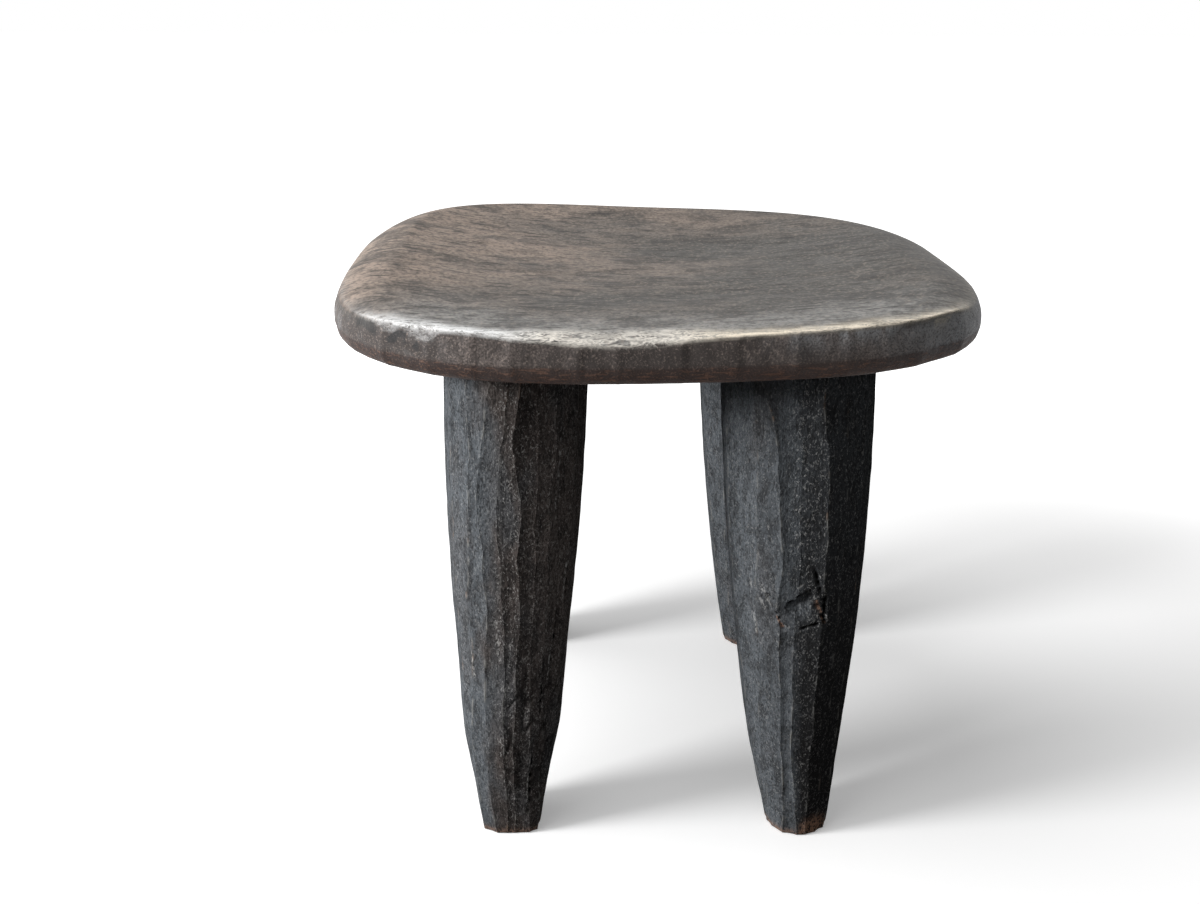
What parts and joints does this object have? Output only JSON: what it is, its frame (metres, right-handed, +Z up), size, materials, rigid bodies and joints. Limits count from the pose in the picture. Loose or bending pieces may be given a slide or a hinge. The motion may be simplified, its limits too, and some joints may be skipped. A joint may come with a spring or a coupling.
{
  "type": "carved wooden stool",
  "caption": "Low hewn stool with a dished, round-cornered seat on stout tapering faceted legs, in dark patinated hardwood.",
  "frame": {"origin": "on the floor, below the middle of the seat's outline", "axes": "+X to the right along the wider side of the seat, +Y to the rear, +Z up"},
  "size_m": [0.359, 0.3366, 0.3248],
  "materials": {
    "seat_wood": "grey-brown patina, burnished satin on the rim",
    "leg_wood": "charcoal-dark patina, hewn facets, satin with open pores"
  },
  "bodies": {
    "root": {"seat": "seat_wood", "leg_front_left": "leg_wood", "leg_front_right": "leg_wood", "leg_rear_left": "leg_wood", "leg_rear_right": "leg_wood"}
  },
  "joints": []
}
